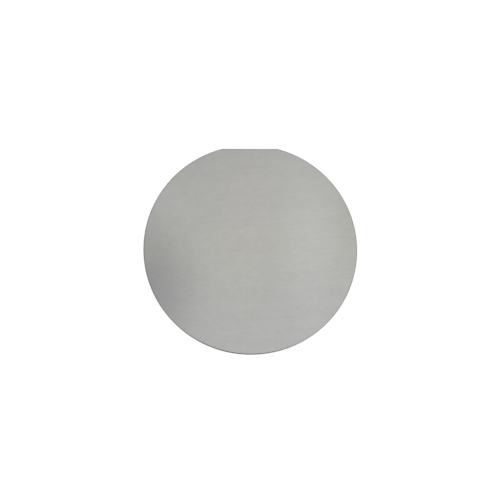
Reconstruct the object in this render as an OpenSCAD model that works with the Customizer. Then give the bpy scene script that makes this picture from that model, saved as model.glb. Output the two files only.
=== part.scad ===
/* [Wafer] */
// Diameter across the round rim
wafer_d = 76.2; // [50:0.1:125]
// Thickness, from the back face to the front face
wafer_t = 0.381; // [0.3:0.001:0.8]

/* [Primary flat] */
// Length of the flat's straight edge
flat_len = 19.5; // [12:0.1:35]
// Radius that turns each end of the flat into the rim
corner_r = 2; // [0.5:0.1:5]

/* [Ground edge] */
// Width of the ground edge, from the rim in to the face
bevel_w = 0.25; // [0.2:0.01:0.4]
// Height of the upright land, midway between the two faces
land_h = 0.1; // [0.04:0.01:0.14]
// Radius of the nose that rounds the land into each bevel
nose_r = 0.06; // [0.02:0.01:0.08]

/* [Hidden] */

// Facets of each nose, and of a full turn
nose_steps = 4;
turn_steps = 180;
// How far each half of the straight edge runs past the middle, into the other half
lap = 1;

// The rim, the corners and the straight edge are sweeps of one section, and run into each other
// along common tangents. So that they match there to the last digit, points are rounded to a
// tenth of a micron and swept angles to a hundredth of a degree, far inside what grinding holds.
function micron(v) = round(v * 10000) / 10000;
function hundredth(v) = round(v * 100) / 100;

rim_r = micron(wafer_d / 2);
turn_r = micron(corner_r);

// The centre of each rounded corner, and half the angle that the flat takes out of the rim
corner_reach = rim_r - turn_r;
flat_turn = hundredth(asin(flat_len / 2 / corner_reach));
corner_x = corner_reach * sin(flat_turn);
corner_y = corner_reach * cos(flat_turn);

// The nose turns from the upright land until its tangent meets the edge of the face
nose_centre = [nose_r, (wafer_t + land_h) / 2];
to_face = [bevel_w, wafer_t] - nose_centre;
nose_turn = atan2(to_face[1], -to_face[0]) - acos(nose_r / norm(to_face));

// Upper half of the ground edge, as [depth in from the rim, height]: the nose, then the bevel
upper_edge = concat(
    [for (i = [0 : nose_steps])
        let (a = nose_turn * i / nose_steps)
        [micron(nose_centre[0] - nose_r * cos(a)), micron(nose_centre[1] + nose_r * sin(a))]],
    [[micron(bevel_w), wafer_t]]
);
edge_last = len(upper_edge) - 1;

// Section of the wafer, from `back` behind the axis out to the ground edge at `reach`
module section(reach, back = 0) {
    upper = [for (p = upper_edge) [reach - p[0], p[1]]];
    lower = [for (i = [edge_last : -1 : 0]) [upper[i][0], micron(wafer_t - upper[i][1])]];
    polygon(concat([[-back, 0]], lower, upper, [[-back, wafer_t]]));
}

// The round of the wafer, left open where the flat and its corners go
module rim() {
    rotate_extrude(start = 90 + flat_turn, angle = 360 - 2 * flat_turn, $fn = turn_steps)
        section(rim_r);
}

// Moves to a corner's centre in a coarse and a fine step, which keeps every digit of the place
module at_corner() {
    coarse = [-hundredth(corner_x), hundredth(corner_y), 0];
    translate(coarse)
        translate([-corner_x, corner_y, 0] - coarse)
            children();
}

// One end of the flat: a small disc that rounds the corner and touches the rim and the flat
// from inside, and the straight edge from there to the middle
module flat_end() {
    at_corner() {
        rotate_extrude($fn = turn_steps)
            section(turn_r);
        rotate([90, 0, 90])
            linear_extrude(corner_x + lap)
                section(turn_r, corner_reach);
    }
}

// The whole wafer: back face at z = 0, front face up, flat towards +Y
module wafer() {
    color([0.70, 0.70, 0.69]) {
        rim();
        flat_end();
        mirror([1, 0, 0]) flat_end();
    }
}

wafer();
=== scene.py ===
import math
import bmesh
import bpy
from mathutils import Matrix, Vector


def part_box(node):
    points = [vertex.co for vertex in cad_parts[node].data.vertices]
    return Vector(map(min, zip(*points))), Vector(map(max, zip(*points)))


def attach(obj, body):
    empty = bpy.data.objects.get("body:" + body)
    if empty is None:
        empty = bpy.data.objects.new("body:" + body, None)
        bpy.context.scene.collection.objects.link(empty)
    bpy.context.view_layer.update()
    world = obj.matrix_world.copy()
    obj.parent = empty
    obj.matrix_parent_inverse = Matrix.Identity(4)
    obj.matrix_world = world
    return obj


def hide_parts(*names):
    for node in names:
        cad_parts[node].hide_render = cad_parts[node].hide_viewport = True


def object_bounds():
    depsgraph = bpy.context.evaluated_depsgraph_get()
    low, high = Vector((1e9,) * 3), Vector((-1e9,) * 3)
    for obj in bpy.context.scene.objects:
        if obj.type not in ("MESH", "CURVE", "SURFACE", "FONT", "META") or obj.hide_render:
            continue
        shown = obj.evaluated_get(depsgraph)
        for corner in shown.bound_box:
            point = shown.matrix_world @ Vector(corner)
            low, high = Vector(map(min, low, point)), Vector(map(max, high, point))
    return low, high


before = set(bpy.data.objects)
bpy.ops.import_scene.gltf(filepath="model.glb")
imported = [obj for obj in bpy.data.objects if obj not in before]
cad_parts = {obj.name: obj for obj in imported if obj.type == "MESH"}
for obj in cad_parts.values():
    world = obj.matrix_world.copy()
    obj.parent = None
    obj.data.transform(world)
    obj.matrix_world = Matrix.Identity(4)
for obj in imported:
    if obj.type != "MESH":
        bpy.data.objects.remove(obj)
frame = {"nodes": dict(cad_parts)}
cadLow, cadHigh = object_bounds()
print("frame loaded:", ", ".join(frame["nodes"]))


def newObject(name, data):
    made = bpy.data.objects.new(name, data)
    bpy.context.scene.collection.objects.link(made)
    return made


def newPiece(name, bm):
    mesh = bpy.data.meshes.new(name)
    bm.to_mesh(mesh)
    bm.free()
    return newObject(name, mesh)


# The wafer's reach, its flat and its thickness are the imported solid's own.
wafer = {
    "cornerRadius": 0.002,  # turns each end of the flat into the rim
    "bevelWidth": 0.00025,  # from the rim in to the face
    "bevelAngle": math.radians(22),
    "noseRadius": 0.00006,  # rounds the upright land into each bevel
    "faceRound": 0.00001,  # where a bevel breaks into the face
    "faceMargin": 0.0001,  # a flat ring that keeps the shading of the face true
    "rimSteps": 384,
    "cornerSteps": 10,
    "noseSteps": 6,
    "faceSteps": 2,
    "tolerance": 0.000001,  # closer than this, two points or two heights are one
    "levelNormal": 0.9999,  # faces that lie this level are sawn, and the rest are ground
}


def turnAbout(bm, vertex, centre, angle, steps):
    made = bmesh.ops.spin(
        bm, geom=[vertex], cent=centre, axis=(0, 0, 1), dvec=(0, 0, 0), angle=angle, steps=steps
    )
    return [item for item in made["geom_last"] if isinstance(item, bmesh.types.BMVert)][0]


# The rim, the right corner, the flat and the left corner, drawn as one closed line.
def drawOutline(bm, rimRadius, flatY, height):
    cornerReach = rimRadius - wafer["cornerRadius"]
    cornerY = flatY - wafer["cornerRadius"]
    cornerTurn = math.acos(cornerY / cornerReach)
    cornerX = cornerReach * math.sin(cornerTurn)
    point = bm.verts.new((-rimRadius * math.sin(cornerTurn), rimRadius * math.cos(cornerTurn), height))
    point = turnAbout(bm, point, (0, 0, height), 2 * (math.pi - cornerTurn), wafer["rimSteps"])
    point = turnAbout(bm, point, (cornerX, cornerY, height), cornerTurn, wafer["cornerSteps"])
    point = bmesh.ops.extrude_vert_indiv(bm, verts=[point])["verts"][0]
    bmesh.ops.translate(bm, verts=[point], vec=(-2 * cornerX, 0, 0))
    turnAbout(bm, point, (-cornerX, cornerY, height), cornerTurn, wafer["cornerSteps"])
    bmesh.ops.remove_doubles(bm, verts=bm.verts, dist=wafer["tolerance"])


def roundEdges(bm, edges, offset, steps):
    bmesh.ops.bevel(
        bm, geom=edges, offset=offset, segments=steps, profile=0.5, affect="EDGES", material=-1
    )


def edgesAt(bm, height):
    return [
        edge
        for edge in bm.edges
        if all(abs(vertex.co.z - height) < wafer["tolerance"] for vertex in edge.verts)
    ]


# Steps the two big faces in from their edges, and outwards by the depth.
def insetFaces(bm, thickness, depth=0.0):
    faces = [face for face in bm.faces if len(face.verts) > 4]
    bmesh.ops.inset_individual(bm, faces=faces, thickness=thickness, depth=depth, use_even_offset=True)


def buildWafer(low, high):
    rimRadius = (high.x - low.x) / 2
    rise = wafer["bevelWidth"] * math.tan(wafer["bevelAngle"])
    shoulders = (low.z + rise, high.z - rise)
    bm = bmesh.new()
    drawOutline(bm, rimRadius, high.y, shoulders[0])
    bmesh.ops.edgeloop_fill(bm, edges=bm.edges[:])
    made = bmesh.ops.extrude_face_region(bm, geom=bm.faces[:])["geom"]
    raised = [item for item in made if isinstance(item, bmesh.types.BMVert)]
    bmesh.ops.translate(bm, verts=raised, vec=(0, 0, shoulders[1] - shoulders[0]))
    bmesh.ops.recalc_face_normals(bm, faces=bm.faces)
    insetFaces(bm, wafer["bevelWidth"], rise)
    noseOffset = wafer["noseRadius"] * math.tan((math.pi / 2 - wafer["bevelAngle"]) / 2)
    roundEdges(bm, edgesAt(bm, shoulders[0]) + edgesAt(bm, shoulders[1]), noseOffset, wafer["noseSteps"])
    roundEdges(bm, edgesAt(bm, low.z) + edgesAt(bm, high.z), wafer["faceRound"], wafer["faceSteps"])
    insetFaces(bm, wafer["faceMargin"])
    bmesh.ops.recalc_face_normals(bm, faces=bm.faces)
    for face in bm.faces:
        face.smooth = len(face.verts) == 4
        face.material_index = 0 if abs(face.normal.z) > wafer["levelNormal"] else 1
    return newPiece("sawnWafer", bm)


# Wire-sawn silicon: satin grey, with fine saw marks that run along the flat.
silicon = {
    "feedGreys": (  # across the marks, from the round side to the flat
        (0.00, (0.353, 0.355, 0.349, 1)),
        (0.30, (0.347, 0.349, 0.333, 1)),
        (0.50, (0.356, 0.358, 0.335, 1)),
        (0.85, (0.344, 0.344, 0.325, 1)),
        (1.00, (0.332, 0.330, 0.316, 1)),
    ),
    "feedReach": 0.038,  # from the middle to either end of these greys
    "feedWander": 0.5,  # how far clouds push the greys up and down
    "sawTurn": math.radians(3.5),  # between the saw marks and the flat
    "layerStep": (0.1, 0, 0),  # sets each layer's noise apart from the last
    "layerStart": (0, 0.2, 0),
    "layers": (  # a size along the marks, across them and down an edge, and a share of the tone
        ((0.0021, 0.00022, 0.00022), 0.38),  # short marks
        ((0.02, 0.0003, 0.0003), 0.1),  # long lines
        ((0.012, 0.00018, 0.00018), 0.1),  # hairlines
        ((0.0003, 0.0003, 0.0003), 0.11),  # grain
        ((0.0045, 0.003, 0.003), 0.16),  # mottling
        ((0.06, 0.004, 0.004), 0.1),  # bands
        ((0.02, 0.02, 0.02), 0.05),  # clouds
    ),
    "contrast": 0.141,  # of the darkest and the lightest marks, against the grey between them
    "patches": (  # soft patches of the front, two of them painted reflection and highlight: a place, a reach and a change of red, green and blue
        ((-0.036, -0.015), (0.024, 0.034), (-0.26, -0.26, -0.23)),  # painted dark reflection, low on the left
        ((0.021, -0.001), (0.015, 0.045), (0.08, 0.09, 0.10)),  # painted highlight, down the right
        ((0.038, 0.025), (0.011, 0.047), (-0.08, -0.08, -0.11)),  # dull, by the right rim
        ((-0.032, 0.022), (0.019, 0.022), (0.07, 0.09, 0.08)),  # pale, high on the left
        ((-0.001, 0.009), (0.022, 0.034), (0.023, 0.004, 0.004)),  # warm, above the middle
    ),
    "metallic": 0.5,
    "roughness": (0.23, 0.27),
    "reliefDepth": 0.0000015,  # of the marks
}
groundEdge = {
    "greys": (0.29, 0.35),
    "paintedLandShade": 0.3,  # painted shade of the upright land, against the bevels
    "landReach": (0.00008, 0.00011),  # from mid height to where that painted shade starts to fade, and ends
    "patches": (  # as on the front face, here painted shadow, shade and light
        ((-0.008, -0.037), (0.033, 0.016), (-0.8, -0.8, -0.8)),  # painted shadow, a dark arc opposite the flat
        ((-0.037, -0.009), (0.018, 0.032), (-0.45, -0.45, -0.45)),  # painted shade, a dusky arc on the left
        ((0.022, -0.031), (0.014, 0.012), (0.35, 0.35, 0.35)),  # painted light, a pale arc low on the right
    ),
    "metallic": 0.3,
    "roughness": (0.5, 0.65),
    "gritSize": (0.00004, 0.00004, 0.00004),
    "reliefDepth": 0.0000006,  # of the grit
}


def freshTree(owner, outputKind):
    owner.use_nodes = True
    tree = owner.node_tree
    tree.nodes.clear()
    return tree, tree.nodes.new(outputKind)


# Adds a node, and links or sets the sockets that are named.
def addNode(tree, kind, sockets, **settings):
    node = tree.nodes.new(kind)
    for name, value in settings.items():
        setattr(node, name, value)
    for key, value in sockets.items():
        if isinstance(value, bpy.types.NodeSocket):
            tree.links.new(value, node.inputs[key])
        else:
            node.inputs[key].default_value = value
    return node


def newMaterial(name):
    material = bpy.data.materials.new(name)
    tree, output = freshTree(material, "ShaderNodeOutputMaterial")
    surface = addNode(tree, "ShaderNodeBsdfPrincipled", {})
    tree.links.new(surface.outputs["BSDF"], output.inputs["Surface"])
    return material, tree, surface


def ownCoordinates(tree):
    return addNode(tree, "ShaderNodeTexCoord", {}).outputs["Object"]


def ownAxis(tree, axis):
    return addNode(tree, "ShaderNodeSeparateXYZ", {"Vector": ownCoordinates(tree)}).outputs[axis]


# The piece's own coordinates moved to a place, turned, and counted in steps of the given size.
def coordinatesAt(tree, place=(0, 0, 0), turn=0.0, size=(1, 1, 1)):
    sockets = {
        "Vector": ownCoordinates(tree),
        "Location": place,
        "Rotation": (0, 0, turn),
        "Scale": size,
    }
    return addNode(tree, "ShaderNodeMapping", sockets, vector_type="TEXTURE").outputs["Vector"]


def noiseAt(tree, coordinates):
    sockets = {"Vector": coordinates, "Scale": 1.0, "Detail": 2.0, "Roughness": 0.6}
    return addNode(tree, "ShaderNodeTexNoise", sockets).outputs["Fac"]


def mathOf(tree, operation, first, second):
    return addNode(tree, "ShaderNodeMath", {0: first, 1: second}, operation=operation).outputs[0]


def vectorOf(tree, operation, sockets):
    return addNode(tree, "ShaderNodeVectorMath", sockets, operation=operation).outputs["Vector"]


# Noise lies mostly between 0.3 and 0.7, which is stretched to the given range.
def rangeOf(tree, value, low, high):
    sockets = {"Value": value, "From Min": 0.3, "From Max": 0.7, "To Min": low, "To Max": high}
    return addNode(tree, "ShaderNodeMapRange", sockets).outputs["Result"]


# Sets the colour and the metal, and the roughness and relief that follow the pattern.
def giveFinish(tree, surface, colour, pattern, values):
    tree.links.new(colour, surface.inputs["Base Color"])
    surface.inputs["Metallic"].default_value = values["metallic"]
    tree.links.new(rangeOf(tree, pattern, *values["roughness"]), surface.inputs["Roughness"])
    relief = addNode(tree, "ShaderNodeBump", {"Height": pattern, "Distance": values["reliefDepth"]})
    tree.links.new(relief.outputs["Normal"], surface.inputs["Normal"])


def layerAt(tree, index, size):
    place = Vector(silicon["layerStart"]) + index * Vector(silicon["layerStep"])
    return noiseAt(tree, coordinatesAt(tree, place, silicon["sawTurn"], size))


def feedColour(tree, clouds):
    reach = silicon["feedReach"]
    sockets = {"Value": ownAxis(tree, "Y"), "From Min": -reach, "From Max": reach}
    along = addNode(tree, "ShaderNodeMapRange", sockets, clamp=False).outputs["Result"]
    wander = mathOf(tree, "MULTIPLY", mathOf(tree, "SUBTRACT", clouds, 0.5), silicon["feedWander"])
    ramp = addNode(tree, "ShaderNodeValToRGB", {"Fac": mathOf(tree, "ADD", along, wander)})
    stops = ramp.color_ramp.elements
    for place, _ in silicon["feedGreys"][1:-1]:
        stops.new(place)
    for stop, (place, grey) in zip(stops, silicon["feedGreys"]):
        stop.position = place
        stop.color = grey
    return ramp.outputs["Color"]


# Soft patches at the height of the front face, which reach as far down as the depth. Several of them are
# painted shade, shadow and highlight.
def patched(tree, colour, patches, depth):
    for place, reach, change in patches:
        spot = coordinatesAt(tree, (*place, cadHigh.z), size=(*reach, depth))
        ball = addNode(tree, "ShaderNodeTexGradient", {"Vector": spot}, gradient_type="SPHERICAL")
        sockets = {"Value": ball.outputs["Fac"]}
        soft = addNode(tree, "ShaderNodeMapRange", sockets, interpolation_type="SMOOTHSTEP")
        tint = vectorOf(tree, "MULTIPLY_ADD", {0: soft.outputs["Result"], 1: change, 2: (1, 1, 1)})
        colour = vectorOf(tree, "MULTIPLY", {0: colour, 1: tint})
    return colour


def sawnFace():
    material, tree, surface = newMaterial("sawnFace")
    layers = [layerAt(tree, index, size) for index, (size, _) in enumerate(silicon["layers"])]
    tone = 0.0
    for layer, (_, share) in zip(layers, silicon["layers"]):
        tone = mathOf(tree, "ADD", mathOf(tree, "MULTIPLY", layer, share), tone)
    shade = rangeOf(tree, tone, 1 - silicon["contrast"], 1 + silicon["contrast"])
    colour = vectorOf(tree, "SCALE", {0: feedColour(tree, layers[-1]), "Scale": shade})
    colour = patched(tree, colour, silicon["patches"], cadHigh.z)
    giveFinish(tree, surface, colour, tone, silicon)
    return material


# Paints shade on the upright land of the rim: darkest at mid height, fading out into the bevels.
def paintedLandShade(tree):
    aboveMid = mathOf(tree, "SUBTRACT", ownAxis(tree, "Z"), (cadLow.z + cadHigh.z) / 2)
    fromMid = mathOf(tree, "ABSOLUTE", aboveMid, 0.0)
    near, far = groundEdge["landReach"]
    sockets = {"Value": fromMid, "From Min": near, "From Max": far, "To Min": groundEdge["paintedLandShade"]}
    return addNode(tree, "ShaderNodeMapRange", sockets).outputs["Result"]


def groundRim():
    material, tree, surface = newMaterial("groundRim")
    grit = noiseAt(tree, coordinatesAt(tree, size=groundEdge["gritSize"]))
    shade = mathOf(tree, "MULTIPLY", rangeOf(tree, grit, *groundEdge["greys"]), paintedLandShade(tree))
    sockets = {"Red": shade, "Green": shade, "Blue": shade}
    colour = addNode(tree, "ShaderNodeCombineColor", sockets).outputs["Color"]
    colour = patched(tree, colour, groundEdge["patches"], cadHigh.x)
    giveFinish(tree, surface, colour, grit, groundEdge)
    return material


piece = buildWafer(*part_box("wafer"))
piece.data.materials.append(sawnFace())
piece.data.materials.append(groundRim())
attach(piece, "root")
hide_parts("wafer")
print("wafer built:", len(piece.data.polygons), "faces")

# The lift whitens the lit floor only where the camera or a reflection sees it.
floor = {
    "halfSide": 3.0,
    "drop": 0.000005,  # below the back face
    "colour": (0.8, 0.8, 0.8, 1),
    "lift": 0.49,
}


def seenRays(tree):
    path = addNode(tree, "ShaderNodeLightPath", {})
    seen = path.outputs["Is Camera Ray"]
    for name in ("Is Glossy Ray", "Is Transmission Ray"):
        seen = mathOf(tree, "MAXIMUM", seen, path.outputs[name])
    return seen


def floorMaterial():
    material = bpy.data.materials.new("floor")
    tree, output = freshTree(material, "ShaderNodeOutputMaterial")
    lit = addNode(tree, "ShaderNodeBsdfDiffuse", {"Color": floor["colour"]}).outputs["BSDF"]
    strength = mathOf(tree, "MULTIPLY", seenRays(tree), floor["lift"])
    glow = addNode(tree, "ShaderNodeEmission", {"Strength": strength}).outputs["Emission"]
    both = addNode(tree, "ShaderNodeAddShader", {0: lit, 1: glow}).outputs["Shader"]
    tree.links.new(both, output.inputs["Surface"])
    return material


def buildFloor():
    bm = bmesh.new()
    bmesh.ops.create_grid(bm, x_segments=1, y_segments=1, size=floor["halfSide"])
    bmesh.ops.translate(bm, verts=bm.verts, vec=(0, 0, cadLow.z - floor["drop"]))
    piece = newPiece("floor", bm)
    piece.data.materials.append(floorMaterial())


buildFloor()

# An even white room, and one large soft lamp high on the right.
studio = {
    "worldLight": 0.64,  # what the room gives the surfaces; it shows as plain white
    "lampPlace": (0.065, 0.035, 0.275),
    "lampSize": 0.24,
    "lampPower": 0.104,
}


def buildWorld():
    world = bpy.data.worlds.new("studio")
    tree, output = freshTree(world, "ShaderNodeOutputWorld")
    sockets = {"Color": (1, 1, 1, 1), "Strength": studio["worldLight"]}
    light = addNode(tree, "ShaderNodeBackground", sockets).outputs["Background"]
    white = addNode(tree, "ShaderNodeBackground", {"Color": (1, 1, 1, 1)}).outputs["Background"]
    either = addNode(tree, "ShaderNodeMixShader", {0: seenRays(tree), 1: light, 2: white})
    tree.links.new(either.outputs["Shader"], output.inputs["Surface"])
    bpy.context.scene.world = world


def buildLamp():
    data = bpy.data.lights.new("softLamp", "AREA")
    data.shape = "DISK"
    data.size = studio["lampSize"]
    data.energy = studio["lampPower"]
    lamp = newObject("softLamp", data)
    lamp.location = studio["lampPlace"]
    lamp.rotation_euler = (-lamp.location).to_track_quat("-Z", "Y").to_euler()
    lamp.visible_camera = False


buildWorld()
buildLamp()
print("floor, world and lamp made")

camera = {
    "elevation": math.radians(78.1),
    "side": math.radians(8.4),  # how far left of straight in front it stands
    "distance": 0.6,
    "lens": 121.2,
    "sensor": 36,
    "clip": (0.01, 20),
    "aim": (-0.00018, -0.00052),  # on the front face
}


def buildCamera():
    data = bpy.data.cameras.new("camera")
    data.lens = camera["lens"]
    data.sensor_width = camera["sensor"]
    data.clip_start, data.clip_end = camera["clip"]
    level = math.cos(camera["elevation"])
    away = Vector((
        -math.sin(camera["side"]) * level,
        -math.cos(camera["side"]) * level,
        math.sin(camera["elevation"]),
    ))
    up = away.cross(Vector((1, 0, 0))).normalized()  # keeps the flat level in the view
    across = up.cross(away)
    facing = Matrix((across, up, away)).transposed().to_4x4()
    aim = Vector((*camera["aim"], cadHigh.z))
    viewer = newObject("camera", data)
    viewer.matrix_world = Matrix.Translation(aim + away * camera["distance"]) @ facing
    bpy.context.scene.camera = viewer


buildCamera()
bpy.context.scene.view_settings.view_transform = "Standard"
print("camera set")
